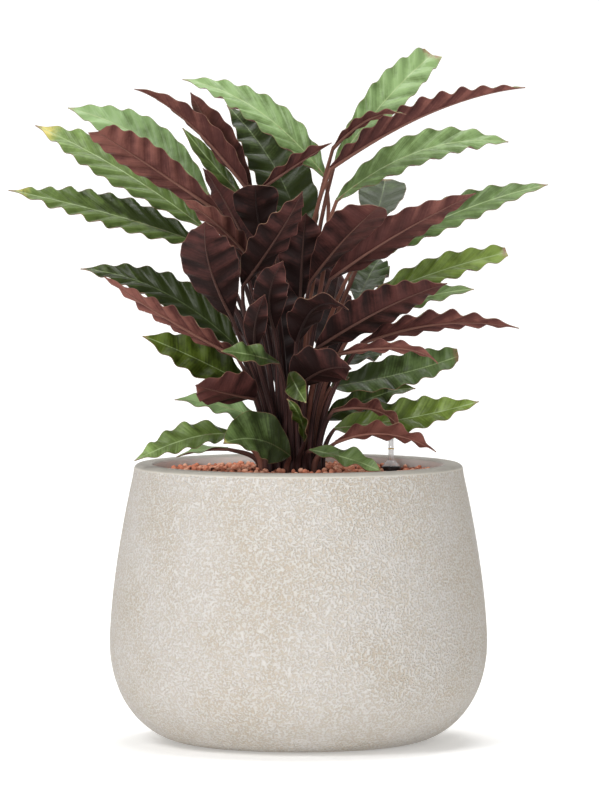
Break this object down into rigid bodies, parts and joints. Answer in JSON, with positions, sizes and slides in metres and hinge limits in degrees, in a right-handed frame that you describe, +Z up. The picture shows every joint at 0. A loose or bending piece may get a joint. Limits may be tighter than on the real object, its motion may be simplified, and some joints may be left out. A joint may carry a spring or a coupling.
{
  "type": "potted wavestar calathea",
  "caption": "Prayer plant with long waved leaves, green above and maroon below, growing in clay granules in a round textured planter with a water level gauge.",
  "frame": {"origin": "centre of the planter's flat underside", "axes": "+Z up along the planter's axis, -Y towards the front that the picture shows, +X to the right of it"},
  "size_m": [0.5675, 0.4, 0.7343],
  "materials": {
    "planter": "cast stone, fine grain",
    "granules": "fired clay",
    "leaf": "satin",
    "gauge_socket": "satin black",
    "gauge_tube": "clear",
    "gauge_float": "red"
  },
  "bodies": {
    "root": {"planter": "planter", "clay_granules": "granules", "gauge_socket": "gauge_socket", "gauge_tube": "gauge_tube", "gauge_float": "gauge_float", "leaf_01": "leaf", "leaf_02": "leaf", "leaf_03": "leaf", "leaf_04": "leaf", "leaf_05": "leaf", "leaf_06": "leaf", "leaf_07": "leaf", "leaf_08": "leaf", "leaf_09": "leaf", "leaf_10": "leaf", "leaf_11": "leaf", "leaf_12": "leaf", "leaf_13": "leaf", "leaf_14": "leaf", "leaf_15": "leaf", "leaf_16": "leaf", "leaf_17": "leaf", "leaf_18": "leaf", "leaf_19": "leaf", "leaf_20": "leaf", "leaf_21": "leaf", "leaf_22": "leaf", "leaf_23": "leaf", "leaf_24": "leaf", "leaf_25": "leaf", "leaf_26": "leaf", "leaf_27": "leaf", "leaf_28": "leaf", "leaf_29": "leaf", "leaf_30": "leaf", "leaf_31": "leaf", "leaf_32": "leaf", "leaf_33": "leaf", "leaf_34": "leaf", "leaf_35": "leaf", "leaf_36": "leaf", "leaf_37": "leaf", "leaf_38": "leaf", "leaf_39": "leaf", "leaf_40": "leaf", "leaf_41": "leaf", "leaf_42": "leaf", "leaf_43": "leaf", "leaf_44": "leaf", "leaf_45": "leaf", "leaf_46": "leaf", "leaf_47": "leaf", "leaf_48": "leaf", "leaf_49": "leaf", "leaf_50": "leaf", "leaf_51": "leaf", "leaf_52": "leaf", "leaf_53": "leaf", "leaf_54": "leaf", "leaf_55": "leaf"}
  },
  "joints": []
}
